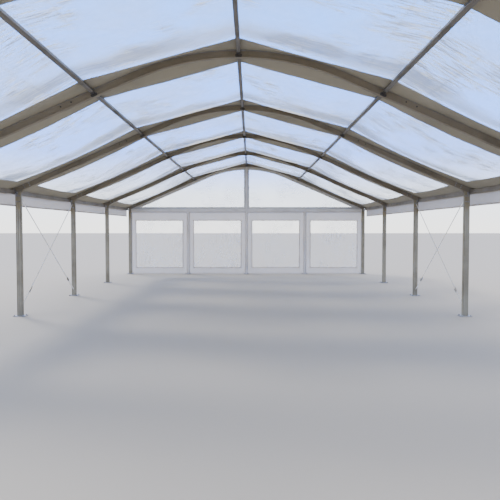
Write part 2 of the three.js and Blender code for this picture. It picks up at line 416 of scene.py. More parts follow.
for frame_name in FRAME_NAMES:
    y = frame_y(frame_name)

    def bent(along, across, lift):
        if abs(along) > rafter_half - SPLICE_GAP:
            along -= math.copysign(lift * SLOPE, along)
        x, z = roof_point(along, lift)
        return x, y + across, z

    rafter = bmesh.new()
    for stations in (crown_stations, leg_stations, mirrored(leg_stations)):
        add_to(rafter, new_bar(rafter_outline, stations))
    for stations in (sleeve_stations, mirrored(sleeve_stations)):
        add_to(rafter, new_bar(sleeve_outline, stations))
    reshape(rafter, bent)
    piece = new_piece("rafter_profile_" + frame_name, rafter, frame_aluminium, smooth=35)
    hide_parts("rafter_" + frame_name)
    bolts = bmesh.new()
    for normal in (-1, 1):
        for side in SIDES.values():
            for distance in (-SPLICE_BOLT, SPLICE_BOLT):
                x, z = roof_point(side * (SPLICE_ALONG + distance), SPLICE_BOLT_LIFT)
                place = (x, y + normal * PROFILE_WIDTH / 2, z)
                add_to(bolts, new_bolt(place, (0, normal, 0), radius=0.007, height=0.005))
    heads = new_piece("splice_bolts_" + frame_name, bolts, dark_steel)


# Knee brackets. A small curved aluminium haunch stiffens the corner under each rafter, and bolts
# through both profiles hold the corner piece that is inside them.
HAUNCH_LEG = 0.075
HAUNCH_WIDTH = 0.03
HAUNCH_PULL = 0.72  # how far its curve is drawn into the corner
HAUNCH_STEPS = 8
KNEE_BOLTS = (0.12, 0.22)  # from the knee, down the post and up the rafter
POST_BOLT_PAIR = (-0.02, 0.02)  # off the post's centre line
RAFTER_BOLT_PAIR = (-0.022, 0.016)  # off the rafter's


def new_plate(outline, thickness):
    """A flat plate, its outline in X and Z, and its thickness along Y."""
    mesh = bmesh.new()
    face = mesh.faces.new([mesh.verts.new((x, 0, z)) for x, z in outline])
    extrude(mesh, face, (0, thickness, 0))
    face_outward(mesh)
    return mesh


def make_knee(name, side_name):
    side, y = SIDES[side_name], frame_y(name)
    inner_x = POST_X - PROFILE_DEPTH / 2
    corner_z = EAVE_Z + (POST_X - inner_x) * SLOPE - PROFILE_DEPTH / 2 / math.cos(PITCH)
    corner = Vector((inner_x, corner_z))
    low_end = corner - Vector((0, HAUNCH_LEG))
    high_end = corner + Vector((-HAUNCH_LEG, HAUNCH_LEG * SLOPE))
    low_pull, high_pull = low_end.lerp(corner, HAUNCH_PULL), high_end.lerp(corner, HAUNCH_PULL)
    points = [corner]
    for step in range(HAUNCH_STEPS + 1):
        t = step / HAUNCH_STEPS
        points.append((1 - t) ** 3 * low_end + 3 * (1 - t) ** 2 * t * low_pull
                      + 3 * (1 - t) * t ** 2 * high_pull + t ** 3 * high_end)
    haunch = new_plate(points, HAUNCH_WIDTH)
    shift(haunch, -CLEARANCE, y - HAUNCH_WIDTH / 2, -CLEARANCE)
    bmesh.ops.scale(haunch, vec=(side, 1, 1), verts=haunch.verts)
    face_outward(haunch)
    piece = new_piece(f"knee_bracket_{name}_{side_name}", haunch, frame_aluminium, smooth=30)

    bolts = bmesh.new()
    for normal in (-1, 1):
        for distance in KNEE_BOLTS:
            places = [(POST_X + aside, EAVE_Z - distance) for aside in POST_BOLT_PAIR]
            places += [roof_point(roof_along(POST_X) - distance, lift) for lift in RAFTER_BOLT_PAIR]
            for x, z in places:
                place = (side * x, y + normal * PROFILE_WIDTH / 2, z)
                add_to(bolts, new_bolt(place, (0, normal, 0), radius=0.009, height=0.007))
    heads = new_piece(f"knee_bolts_{name}_{side_name}", bolts, zinc_steel)


for frame_name in FRAME_NAMES:
    for side_name in SIDES:
        make_knee(frame_name, side_name)


# Purlins. Square grey tubes from frame to frame, one under the ridge and one on each slope. Each end
# sits on the shelf of a dark steel bracket that is bolted to the rafter's side.
PURLIN = 0.048
PURLIN_TOP = TRACK_LIFT - 0.0008  # from the rafter's centre line
BRACKET_THICKNESS = 0.005
SHELF_Z = PURLIN_TOP - PURLIN - 2 * SEAT
SHELF_LENGTH = 0.07
SHELF_BOLT = 0.7  # of the shelf's length
BRACKET_BOLT_DROP = 0.018  # under the top of the shelf
SMALL_BEVEL = 0.001
BRACKET_OUTLINE = [(-0.04, SHELF_Z), (-0.04, -0.038), (-0.03, -0.047),
                   (0.03, -0.047), (0.04, -0.038), (0.04, SHELF_Z)]
SIDE_PURLIN_ALONG = roof_along(1.76)
PURLIN_LINES = {"ridge_purlin": 0, "side_purlin_left": -SIDE_PURLIN_ALONG,
                "side_purlin_right": SIDE_PURLIN_ALONG}
bay_count = len(FRAME_NAMES) - 1
purlin_grey = make_extruded("purlin_grey", (0.165, 0.15, 0.128, 1), (0.115, 0.104, 0.086, 1), 0.4)


def lay_on_roof(mesh, along, place):
    """Moves a mesh made round the origin to a place, turned to the slope of the roof there."""
    turn = Matrix.Rotation(max(-PITCH, min(PITCH, along / CROWN_RADIUS)), 4, "Y")
    bmesh.ops.transform(mesh, matrix=Matrix.Translation(place) @ turn, verts=mesh.verts)


def new_bracket(frame_name, beside):
    """A plate on one side of a rafter, with the shelf that carries a purlin, and their bolts."""
    bracket = new_plate(BRACKET_OUTLINE, BRACKET_THICKNESS)
    shelf_bottom = SHELF_Z - BRACKET_THICKNESS
    add_to(bracket, new_box((-PURLIN / 2, 0, shelf_bottom), (PURLIN / 2, SHELF_LENGTH, SHELF_Z), SMALL_BEVEL))
    for place, normal in (((0, BRACKET_THICKNESS, SHELF_Z - BRACKET_BOLT_DROP), (0, 1, 0)),
                          ((0, SHELF_LENGTH * SHELF_BOLT, shelf_bottom), (0, 0, -1))):
        add_to(bracket, new_bolt(place, normal, radius=0.006, height=0.005))
    bmesh.ops.scale(bracket, vec=(1, beside, 1), verts=bracket.verts)
    if beside < 0:
        bmesh.ops.reverse_faces(bracket, faces=bracket.faces)
    shift(bracket, 0, frame_y(frame_name) + beside * (PROFILE_WIDTH / 2 + SEAT), 0)
    return bracket


for line_name, along in PURLIN_LINES.items():
    for bay in range(1, bay_count + 1):
        node = f"{line_name}_{bay}"
        low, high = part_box(node)
        tube = new_bar(profile_points(PURLIN, PURLIN, PROFILE_CORNER), [low.y, (low.y + high.y) / 2, high.y])
        bmesh.ops.rotate(tube, matrix=Matrix.Rotation(math.radians(90), 3, "Z"), verts=tube.verts)
        lay_on_roof(tube, along, ((low.x + high.x) / 2, 0, (low.z + high.z) / 2))
        piece = new_piece(node + "_tube", tube, purlin_grey, smooth=35)
        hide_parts(node)
    brackets = bmesh.new()
    for bay in range(bay_count):
        add_to(brackets, new_bracket(FRAME_NAMES[bay], 1))
        add_to(brackets, new_bracket(FRAME_NAMES[bay + 1], -1))
    x, z = roof_point(along, 0)
    lay_on_roof(brackets, along, (x, 0, z))
    piece = new_piece(line_name + "_brackets", brackets, dark_steel, smooth=35)


# Eave rails. An aluminium extrusion clamped along the outer faces of the posts, with a track for the
# valance outside, ribs inside, and a sloped top under the folded edge of the roof. At each frame a cap
# fills the height up to the sheets, and closes the slot between them beyond the rafter's end.
RAIL_WIDTH = 0.06
RAIL_FALL = RAIL_WIDTH * SLOPE
RAIL_BOTTOM_Z = 2.16
RAIL_CORNER = 0.002
RAIL_OUTER_CORNER = 0.003
RAIL_TRACK_DROP = 0.014  # below the outer edge of its top
RIB = 0.004
RIB_HEIGHTS = (0.022, 0.05)
CLAMP_LENGTH = 0.05
CLAMP_THICKNESS = 0.005
CLAMP_FACE = PROFILE_WIDTH / 2 + 0.0015  # from the post's middle
CLAMP_BOTTOM_Z = RAIL_BOTTOM_Z - 0.01
CLAMP_TOP_Z = 2.2
CLAMP_BOLT = (0.03, RAIL_BOTTOM_Z + 0.015)  # its distance from the rail, and its height
EAVE_CAP_HALF = 0.09
EAVE_CAP_TOP = -0.003  # from the middle of the sheets' thickness
SLOT_HALF = PROFILE_WIDTH / 2 - 0.001
SLOT_FILL = (-0.004, 0.01)  # from the middle of the sheets' thickness
for side_name, side in SIDES.items():
    node = "eave_rail_" + side_name
    low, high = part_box(node)
    inner_x, outer_x = sorted((abs(low.x), abs(high.x)))
    outer_top = high.z - RAIL_FALL
    track_z = outer_top - RAIL_TRACK_DROP
    outline = [(high.z - RAIL_CORNER, inner_x + RAIL_CORNER), (outer_top, outer_x - RAIL_CORNER),
               (outer_top - RAIL_CORNER, outer_x)]
    outline += [(track_z + RIB, outer_x), (track_z + RIB, outer_x - 2 * RIB),
                (track_z - RIB, outer_x - 2 * RIB), (track_z - RIB, outer_x)]
    outline += [(RAIL_BOTTOM_Z + RAIL_OUTER_CORNER, outer_x), (RAIL_BOTTOM_Z, outer_x - RAIL_OUTER_CORNER),
                (RAIL_BOTTOM_Z, inner_x + RAIL_CORNER), (RAIL_BOTTOM_Z + RAIL_CORNER, inner_x)]
    for groove_z in (RAIL_BOTTOM_Z + height for height in RIB_HEIGHTS):
        outline += [(groove_z - RIB, inner_x), (groove_z - RIB / 2, inner_x + RIB),
                    (groove_z + RIB / 2, inner_x + RIB), (groove_z + RIB, inner_x)]
    outline += [(high.z - 2 * RAIL_CORNER, inner_x)]
    rail = new_bar(outline, [low.y, 0, high.y])
    reshape(rail, lambda along, across, up: (side * across, along, up))
    face_outward(rail)
    piece = new_piece(node + "_profile", rail, frame_aluminium, smooth=20)
    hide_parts(node)

    clamps = bmesh.new()
    for frame_name in FRAME_NAMES:
        for beside in (-1, 1):
            near_y = frame_y(frame_name) + beside * CLAMP_FACE
            far_y = near_y + beside * CLAMP_THICKNESS
            add_to(clamps, new_box((side * (inner_x - CLAMP_LENGTH), near_y, CLAMP_BOTTOM_Z),
                                   (side * (inner_x - CLEARANCE), far_y, CLAMP_TOP_Z), SMALL_BEVEL))
            place = (side * (inner_x - CLAMP_BOLT[0]), far_y, CLAMP_BOLT[1])
            add_to(clamps, new_bolt(place, (0, beside, 0), radius=0.007, height=0.006))
    piece = new_piece(node + "_clamps", clamps, zinc_steel)

    sheet_z = EAVE_Z + (POST_X - inner_x) * SLOPE + TRACK_LIFT / math.cos(PITCH)
    caps = bmesh.new()
    for bottom, top, half in ((high.z + CLEARANCE, sheet_z + EAVE_CAP_TOP, EAVE_CAP_HALF),
                              (sheet_z + SLOT_FILL[0], sheet_z + SLOT_FILL[1], SLOT_HALF)):
        for frame_name in FRAME_NAMES:
            cap = new_plate([(inner_x, bottom), (inner_x, top), (outer_x, top - RAIL_FALL),
                             (outer_x, bottom - RAIL_FALL)], 2 * half)
            shift(cap, 0, frame_y(frame_name) - half, 0)
            add_to(caps, cap)
    bmesh.ops.scale(caps, vec=(side, 1, 1), verts=caps.verts)
    face_outward(caps)
    piece = new_piece(node + "_caps", caps, frame_aluminium)


# Roof sheets. One length of clear film for each bay, welded all round to a border of opaque coated
# fabric. The borders run in the rafters' tracks, follow their curve there, and pull straight between
# the purlins away from them. The slopes sag a little, and at the eaves the border folds over the rail.
SHEET_END_X = 4.0686
BORDER_BY_RAFTER = 0.42
BORDER_BY_EAVE = 0.33
BORDER_THICKNESS = 0.0012
FILM_THICKNESS = 0.0008
EAVE_FOLD = 0.05
CROWN_SAG = 0.012
SLOPE_SAG = 0.12  # the loose film between the side purlin and the eave, halfway between rafters
EAVE_PULL = 0.031  # the sheet is drawn down on to the rail between the caps
EAVE_PULL_REACH = 0.3  # from a rafter, to where the sheet is drawn down in full
SEAM_WAVE = 0.014
SEAM_WAVE_REACH = 0.1
RIPPLE = 0.006
FOLD_LEAN = 0.08  # of the fold over the rail
FOLD_SPACING = 0.37  # of the creases from storing
SHEET_GRID = (132, 72)
sheet_half = roof_along(SHEET_END_X)
rail_reach = roof_along(SHEET_END_X - RAIL_WIDTH) - 0.01  # just before the rail's inner edge
purlin_edge = PURLIN / 2 + 0.002  # where a sheet leaves a purlin
sheet_low, sheet_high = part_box("roof_sheet_1")
SHEET_WIDTH = sheet_high.y - sheet_low.y


def make_weave():
    """Coated cloth: the crossed threads that show faintly through the coating, as a height."""
    group, given, made = new_group("weave", {"Vector": "Vector", "Threads": "Float"}, {"Height": "Float"})
    threads = {"Vector": given["Vector"], "Scale": given["Threads"]}
    waves = [shader_node(group, "TexWave", threads, bands_direction=way).outputs["Fac"] for way in "XY"]
    group.links.new(shader_math(group, "ADD", *waves), made["Height"])
    return group


weave = make_weave()


def make_fabric(name, clean, dirty, roughness, see_light=0.0):
    """Coated tent fabric with its threads, soft creases and dirt. See_light lets light through it."""
    material, tree, surface = new_material(name, Metallic=0.0, Subsurface_Weight=see_light,
                                           Subsurface_Radius=(1, 1, 1), Subsurface_Scale=0.01)
    places, marks, colour = wear(tree, 1.3, clean, dirty)
    gloss = shader_math(tree, "MULTIPLY_ADD", marks["Speckle"], 0.12, roughness)
    threads = use_group(tree, weave, {"Vector": places["UV"], "Threads": 180.0})
    creases = shader_noise(tree, places["Object"], scale=9.0, detail=4.0, roughness=0.55, distortion=0.6)
    soft = shader_relief(tree, creases, strength=0.35, distance=0.006)
    relief = shader_relief(tree, threads["Height"], strength=0.12, distance=0.0003, Normal=soft)
    set_surface(tree, surface, colour, gloss, relief)
    return material


def make_film_marks():
    """Marks of folding and storing on film, more of them where Gather is 1. Dull And Shade, Bright and Haze
    are masks, and Folds is a height. The film paints its Dull And Shade marks dark, as painted shade."""
    group, given, made = new_group("film_marks", {"Vector": "Vector", "Gather": "Float"},
                                   {"Dull And Shade": "Float", "Bright": "Float", "Haze": "Float", "Folds": "Float"})
    flat = given["Vector"]
    folds = shader_noise(group, flat, scale=1.1, detail=2.0)
    gathered = shader_math(group, "MULTIPLY_ADD", given["Gather"], 0.1, folds)
    patches = shader_fade(group, gathered, 0.5, 0.63)
    strokes = []
    for stretch, start, end in (((3.4, 26.0, 1.0), 0.47, 0.64), ((3.6, 30.0, 3.0), 0.52, 0.64)):
        drawn_out = shader_stretch(group, flat, stretch)
        lines = shader_noise(group, drawn_out, scale=1.0, detail=4.0, roughness=0.55, distortion=0.4)
        strokes.append(shader_math(group, "MULTIPLY", shader_fade(group, lines, start, end), patches))
    along = shader_node(group, "SeparateXYZ", {"Vector": flat}).outputs["X"]
    off_fold = shader_math(group, "PINGPONG", along, FOLD_SPACING)
    crease = shader_math(group, "MULTIPLY", shader_fade(group, off_fold, 0.018, 0.0, "LINEAR"), patches)
    cloud = shader_noise(group, flat, scale=0.75, detail=5.0, roughness=0.55, distortion=0.5)
    masks = {"Dull And Shade": shader_math(group, "MULTIPLY_ADD", crease, 0.4, strokes[0], clamp=True),
             "Bright": strokes[1], "Haze": shader_fade(group, cloud, 0.3, 0.72), "Folds": folds}
    for label, mask in masks.items():
        group.links.new(mask, made[label])
    return group


film_marks = make_film_marks()


def make_film(name, haze, strokes, width=None, seam=None):
    """Clear film: a little milky, with dull and bright strokes. The dull strokes are rougher, and painted
    dark blue-grey as painted shade and reflection. On a roof sheet of this width they gather near the side
    purlins, and a wide dull band, painted dark the same way, runs before the seam along the rear rafter."""
    material, tree, surface = new_material(name, Metallic=0.0, IOR=1.45, Subsurface_Weight=0.9,
                                           Subsurface_Radius=(1, 1, 1), Subsurface_Scale=0.01)
    flat = shader_node(tree, "TexCoord").outputs["UV"]
    if seam:
        apart = shader_node(tree, "SeparateXYZ", {"Vector": flat}).outputs
        reach = shader_math(tree, "ABSOLUTE", apart["X"])
        past_purlin = shader_math(tree, "SUBTRACT", reach, SIDE_PURLIN_ALONG)
        near_purlin = shader_fade(tree, shader_math(tree, "ABSOLUTE", past_purlin), 0.85, 0.25)
        marks = use_group(tree, film_marks, {"Vector": flat, "Gather": near_purlin})
        wander = shader_math(tree, "MULTIPLY_ADD", marks["Folds"], 0.5, -0.25)
        across = shader_math(tree, "FLOORED_MODULO", shader_math(tree, "ADD", apart["Y"], wander), width)
        rear_seam = width - seam
        band_start, band_full, band_end = rear_seam - 0.75, rear_seam - 0.35, rear_seam - 0.25
        beside = shader_fade(tree, across, band_start, band_full)
        off_seam = shader_fade(tree, across, rear_seam, band_end)
        band = shader_math(tree, "MULTIPLY", beside, off_seam)
        patchy = shader_math(tree, "MULTIPLY", band, marks["Folds"])
        dull = shader_math(tree, "MULTIPLY_ADD", patchy, 1.7, marks["Dull And Shade"], clamp=True)
    else:
        marks = use_group(tree, film_marks, {"Vector": flat, "Gather": 0.2})
        dull = marks["Dull And Shade"]
    # Where the dull marks are, the film is painted dark blue-grey: painted shade and reflection.
    colour = shader_mix(tree, dull, (0.78, 0.9, 1.0, 1), (0.12, 0.17, 0.27, 1))
    veil = shader_math(tree, "MULTIPLY_ADD", marks["Haze"], haze, 0.04)
    white = shader_math(tree, "MULTIPLY_ADD", marks["Bright"], strokes, veil)
    marked = shader_math(tree, "MULTIPLY_ADD", dull, strokes, white)
    edge_on = shader_node(tree, "LayerWeight", {"Blend": 0.25}).outputs["Facing"]
    tree.links.new(shader_math(tree, "MULTIPLY_ADD", edge_on, 0.25, marked, clamp=True), surface["Alpha"])
    gloss = shader_math(tree, "MULTIPLY_ADD", dull, 0.3, 0.12)
    relief = shader_relief(tree, marks["Folds"], strength=0.3, distance=0.01)
    set_surface(tree, surface, colour, gloss, relief)
    return material


border_fabric = make_fabric("border_fabric", (0.66, 0.63, 0.56, 1), (0.58, 0.55, 0.48, 1), 0.6)
# The border's underside is the same fabric painted darker and browner: painted shade under the roof.
border_underside_painted_shade = make_fabric("border_underside_painted_shade", (0.345, 0.31, 0.23, 1), (0.285, 0.255, 0.187, 1), 0.65)
roof_film = make_film("roof_film", 0.2, 0.5, SHEET_WIDTH, BORDER_BY_RAFTER)


def new_grid(width, height, columns, rows):
    """A flat grid round the origin."""
    mesh = bmesh.new()
    bmesh.ops.create_grid(mesh, x_segments=columns, y_segments=rows, size=0.5)
    bmesh.ops.scale(mesh, vec=(width, height, 1), verts=mesh.verts)
    return mesh


def cut_flat(mesh, axis, places, merge=1e-4):
    """Cuts a flat mesh across an axis, 0 or 1, at some places along it."""
    normal = Vector((1 - axis, axis, 0))
    for place in places:
        parts = mesh.verts[:] + mesh.edges[:] + mesh.faces[:]
        bmesh.ops.bisect_plane(mesh, geom=parts, plane_co=normal * place, plane_no=normal, dist=merge)


def keep_faces(mesh, is_kept):
    """Deletes the faces of a flat mesh whose middle isn't where they are kept."""
    unwanted = [face for face in mesh.faces if not is_kept(*face.calc_center_median().xy)]
    bmesh.ops.delete(mesh, geom=unwanted, context="FACES")


def thicken(piece, thickness):
    """Gives a sheet its thickness. A second material goes to its underside."""
    body = piece.modifiers.new("thickness", "SOLIDIFY")
    body.thickness = thickness
    body.offset = 0
    body.material_offset = len(piece.data.materials) - 1


def soft_step(value, start, end):
    """0 before start, 1 after end, and smooth between them."""
    share = max(0.0, min(1.0, (value - start) / (end - start)))
    return share * share * (3 - 2 * share)


def stretched_point(along, across, width, bay):
    """Where a point of the flat sheet lies. across is measured from the bay's first rafter."""
    side = math.copysign(1, along)
    reach = abs(along)
    nearest_seam = min((BORDER_BY_RAFTER, width - BORDER_BY_RAFTER), key=lambda seam: abs(seam - across))
    close = max(0.0, 1 - abs(across - nearest_seam) / SEAM_WAVE_REACH)
    uneven = noise.noise(Vector((along * 2.7, nearest_seam * 5, bay)))
    uneven += 0.6 * noise.noise(Vector((along * 6.5, nearest_seam * 9, bay)))
    across += close * SEAM_WAVE * uneven
    rafter_off = min(across, width - across)
    freed = soft_step(rafter_off, 0, BORDER_BY_RAFTER)
    x, z = roof_point(min(reach, sheet_half), TRACK_LIFT)
    hang = math.sin(math.pi * across / width)
    crown_start, crown_end = purlin_edge, SIDE_PURLIN_ALONG - purlin_edge
    slope_start = SIDE_PURLIN_ALONG + purlin_edge
    loose = 0.0
    if crown_start < reach < crown_end:
        share = (reach - crown_start) / (crown_end - crown_start)
        start_x, start_z = roof_point(crown_start, TRACK_LIFT)
        end_x, end_z = roof_point(crown_end, TRACK_LIFT)
        x += (start_x + (end_x - start_x) * share - x) * freed
        z += (start_z + (end_z - start_z) * share - z) * freed
        loose = math.sin(math.pi * share)
        z -= loose * freed * CROWN_SAG * hang
    elif reach > slope_start:
        loose = math.sin(math.pi * min(1.0, (reach - slope_start) / (rail_reach - slope_start)))
        z -= loose * freed * SLOPE_SAG * hang
        pulled = soft_step(rafter_off, EAVE_CAP_HALF - PROFILE_WIDTH / 2, EAVE_PULL_REACH)
        z -= EAVE_PULL * pulled * soft_step(reach, rail_reach - BORDER_BY_EAVE / 2, rail_reach)
    seed = Vector((bay * 7.3, side * 3.1, 0))
    ripple = noise.noise(Vector((reach * 0.9, across * 6.5, 0)) + seed)
    ripple += 0.5 * noise.noise(Vector((reach * 2.3, across * 14.0, 5)) + seed)
    z += loose * freed * ripple * RIPPLE
    folded = max(0.0, reach - sheet_half)
    return Vector((side * (x + folded * FOLD_LEAN), across, z - folded))


def make_roof_sheet(bay, keep_border):
    low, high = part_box(f"roof_sheet_{bay}")
    width = high.y - low.y
    full = sheet_half + EAVE_FOLD
    mesh = new_grid(full * 2, width, *SHEET_GRID)
    shift(mesh, 0, width / 2, 0)
    eave_seam = sheet_half - BORDER_BY_EAVE
    bends = (purlin_edge, SIDE_PURLIN_ALONG - purlin_edge, SIDE_PURLIN_ALONG + purlin_edge,
             eave_seam, rail_reach, sheet_half)
    cut_flat(mesh, 1, (BORDER_BY_RAFTER, width - BORDER_BY_RAFTER))
    cut_flat(mesh, 0, [side * place for place in bends for side in (1, -1)])

    def is_kept(along, across):
        clear = abs(along) < eave_seam and BORDER_BY_RAFTER < across < width - BORDER_BY_RAFTER
        return clear != keep_border

    keep_faces(mesh, is_kept)
    store_flat(mesh, lambda point: (point.x, point.y + bay * width))
    reshape(mesh, lambda along, across, _: stretched_point(along, across, width, bay) + Vector((0, low.y, 0)))
    kind, materials = ("border", (border_fabric, border_underside_painted_shade)) if keep_border else ("film", (roof_film,))
    sheet = new_piece(f"roof_{kind}_{bay}", mesh, *materials, smooth=60)
    thicken(sheet, BORDER_THICKNESS if keep_border else FILM_THICKNESS)
    if keep_border:
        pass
    else:
        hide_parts(f"roof_sheet_{bay}")


for bay in range(1, bay_count + 1):
    make_roof_sheet(bay, keep_border=False)
    make_roof_sheet(bay, keep_border=True)


# Valances. A strip of white coated fabric hangs on the outside of each eave rail, sewn into a hem
# along its lower edge. Below the rail it sways a little outwards.
VALANCE_BOTTOM_Z = 1.95
VALANCE_SWAY = 0.014
VALANCE_TOP_DROP = 0.006  # under the outer edge of the rail's top
VALANCE_STEPS = 360
VALANCE_ROWS = 12
HEM = 0.03
HEM_THICKNESS = 0.0036
# White fabric painted grey-beige, darker and warmer than white: painted shade. The gable curtains use it too.
white_fabric = make_fabric("white_fabric", (0.46, 0.4, 0.33, 1), (0.41, 0.36, 0.295, 1), 0.55, see_light=0.7)
for side_name, side in SIDES.items():
    node = "valance_" + side_name
    low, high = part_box(node)
    rail_low, rail_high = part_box("eave_rail_" + side_name)
    hang_x = min(abs(low.x), abs(high.x)) + BORDER_THICKNESS
    top_z = rail_high.z - RAIL_FALL - VALANCE_TOP_DROP
    drop = top_z - VALANCE_BOTTOM_Z - HEM_THICKNESS
    length = high.y - low.y

    def hanging(y, z, across=0.0):
        free = max(0.0, (RAIL_BOTTOM_Z - z) / (RAIL_BOTTOM_Z - VALANCE_BOTTOM_Z))
        sway = VALANCE_SWAY * free * (noise.noise(Vector((y * 1.7, z * 3, side * 4.0))) + 0.5)
        return side * (hang_x + sway + across), y, z

    strip = new_grid(1, 1, VALANCE_STEPS, VALANCE_ROWS)
    store_flat(strip, lambda point: (point.x * length, point.y * drop))
    reshape(strip, lambda along, up, _: hanging(along * length, top_z - (0.5 - up) * drop))
    strip_piece = new_piece(node + "_cloth", strip, white_fabric, smooth=60)
    thicken(strip_piece, BORDER_THICKNESS)
    stations = [low.y + length * step / VALANCE_STEPS for step in range(VALANCE_STEPS + 1)]
    hem = new_bar(profile_points(HEM, HEM_THICKNESS, HEM_THICKNESS / 3), stations)
    reshape(hem, lambda along, across, up: hanging(along, VALANCE_BOTTOM_Z + HEM / 2 + up, across))
    face_outward(hem)
    hem_piece = new_piece(node + "_hem", hem, white_fabric, smooth=60)
    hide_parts(node)


# Gable frame. Two lengths of box beam cross the rear gable at eave height and butt on the king post,
# with a strip behind it. The king post stands on the ground and reaches the crown, and two uprights
# stand between it and the corner posts.
KING_DEPTH = 0.04
BEAM_TRACKS = (-0.03, 0.012, TRACK_LIFT)
UPRIGHT_TRACKS = (-0.018, 0.018)
GABLE_BOLT = 0.01
STRIP_SPAN = (0.019, 0.001)  # in front of the beam's rear face
STRIP_INSET = 0.002  # from the beam's edges
gable_aluminium = make_extruded("gable_aluminium", (0.79, 0.74, 0.665, 1), (0.67, 0.62, 0.545, 1), 0.45)
beam_low, beam_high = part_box("gable_beam")
for node, depth in (("king_post", KING_DEPTH), ("gable_upright_left", PROFILE_WIDTH),
                    ("gable_upright_right", PROFILE_WIDTH)):
    low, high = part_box(node)
    x, y = (low.x + high.x) / 2, beam_low.y + depth / 2
    bar = new_bar(profile_points(PROFILE_WIDTH, depth, PROFILE_CORNER, UPRIGHT_TRACKS),
                  [BASE_PLATE_THICKNESS, MID_CUT, high.z])
    reshape(bar, lambda along, across, aside: (x + aside, y + across, along))
    face_outward(bar)
    piece = new_piece(node + "_profile", bar, gable_aluminium, smooth=35)
    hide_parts(node)
    plate = new_piece(node + "_plate", new_foot(low.xy, high.xy, GABLE_BOLT), zinc_steel, smooth=35)

beam = bmesh.new()
king_half = PROFILE_WIDTH / 2 + CLEARANCE
beam_outline = profile_points(beam_high.z - beam_low.z, PROFILE_WIDTH, PROFILE_CORNER, BEAM_TRACKS)
for stations in ([beam_low.x, beam_low.x / 2, -king_half], [king_half, beam_high.x / 2, beam_high.x]):
    add_to(beam, new_bar(beam_outline, stations))
shift(beam, 0, (beam_low.y + beam_high.y) / 2, (beam_low.z + beam_high.z) / 2)
strip = new_box((-king_half, beam_high.y - STRIP_SPAN[0], beam_low.z + STRIP_INSET),
                (king_half, beam_high.y - STRIP_SPAN[1], beam_high.z - STRIP_INSET))
add_to(beam, strip)
beam_piece = new_piece("gable_beam_profile", beam, gable_aluminium, smooth=35)
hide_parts("gable_beam")


# Gable wall. Four curtains of white fabric hang between the uprights, each with a large window of
# clear film welded into a narrow frame of doubled fabric.
WELD = 0.025
WALL_GRID = (48, 52)
WIDE_FOLDS = 0.006
NARROW_FOLDS = 0.003
WALL_THICKNESSES = {"curtain": BORDER_THICKNESS, "pane": FILM_THICKNESS, "weld": 0.0034}
window_film = make_film("window_film", 0.12, 0.08)


def curtain_bulge(x, z):
    """How far the hanging fabric stands out of its plane, in soft vertical folds."""
    wide = noise.noise(Vector((x * 3.2, z * 0.6, 2.0)))
    narrow = noise.noise(Vector((x * 9, z * 1.4, 8)))
    return WIDE_FOLDS * wide + NARROW_FOLDS * narrow


for place in ("outer_left", "inner_left", "inner_right", "outer_right"):
    node = "gable_wall_" + place
    low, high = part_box(node)
    pane_low, pane_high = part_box("gable_window_" + place)
    y = (low.y + high.y) / 2
    width, height = high.x - low.x, high.z - low.z

    def is_inside(x, z, grow):
        return (pane_low.x - grow < x < pane_high.x + grow
                and pane_low.z - grow < z < pane_high.z + grow)

    kept = {"curtain": lambda x, z: not is_inside(x, z, 0), "pane": lambda x, z: is_inside(x, z, 0),
            "weld": lambda x, z: is_inside(x, z, WELD) and not is_inside(x, z, 0)}
    for part, thickness in WALL_THICKNESSES.items():
        mesh = new_grid(width, height, *WALL_GRID)
        shift(mesh, low.x + width / 2, low.z + height / 2, 0)
        for grow in (0, WELD):
            cut_flat(mesh, 0, (pane_low.x - grow, pane_high.x + grow))
            cut_flat(mesh, 1, (pane_low.z - grow, pane_high.z + grow))
        keep_faces(mesh, kept[part])
        store_flat(mesh, lambda point: (point.y, point.x))
        reshape(mesh, lambda x, z, _: (x, y + curtain_bulge(x, z), z))
        piece = new_piece(f"gable_{part}_{place}", mesh, window_film if part == "pane" else white_fabric,
                          smooth=60)
        thicken(piece, thickness)
    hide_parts(node)
    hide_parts("gable_window_" + place)


# Gable sheet. Clear film closes the gable above the beam, with a border of opaque fabric along the
# rafter and along the beam, in the outer track of both, and a strip of it behind the king post.
GABLE_BORDER_TOP = 0.15
GABLE_BORDER_BOTTOM = 0.16
GABLE_MIDDLE_HALF = 0.085
GABLE_SHEET_THICKNESS = 0.001
GABLE_SHEET_WAVE = 0.0015
GABLE_COLUMNS = 120
GABLE_ROWS = (0, 2, 22, 25)  # where the lower border, the film and the upper border begin, and the end
low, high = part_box("gable_sheet")
gable_y = (low.y + high.y) / 2
middle_half = GABLE_MIDDLE_HALF / (2 * rafter_half)


def gable_row(up):
    """The row of the grid at a height from -0.5 to 0.5."""
    return (up + 0.5) * GABLE_ROWS[-1]


def gable_place(along, up, _):
    """Where a point of the grid lies, in the rows between the beam and the rafter."""
    row = gable_row(up)
    top_x, top_z = roof_point(along * 2 * rafter_half, 0)
    film_low = low.z + GABLE_BORDER_BOTTOM
    heights = (low.z, film_low, max(film_low, top_z - GABLE_BORDER_TOP), top_z)
    part = sum(row > start for start in GABLE_ROWS[1:-1])
    share = (row - GABLE_ROWS[part]) / (GABLE_ROWS[part + 1] - GABLE_ROWS[part])
    z = heights[part] + (heights[part + 1] - heights[part]) * share
    return max(low.x, min(high.x, top_x)), gable_y, min(z, top_z)


def is_gable_film(along, up):
    return GABLE_ROWS[1] < gable_row(up) < GABLE_ROWS[2] and abs(along) > middle_half


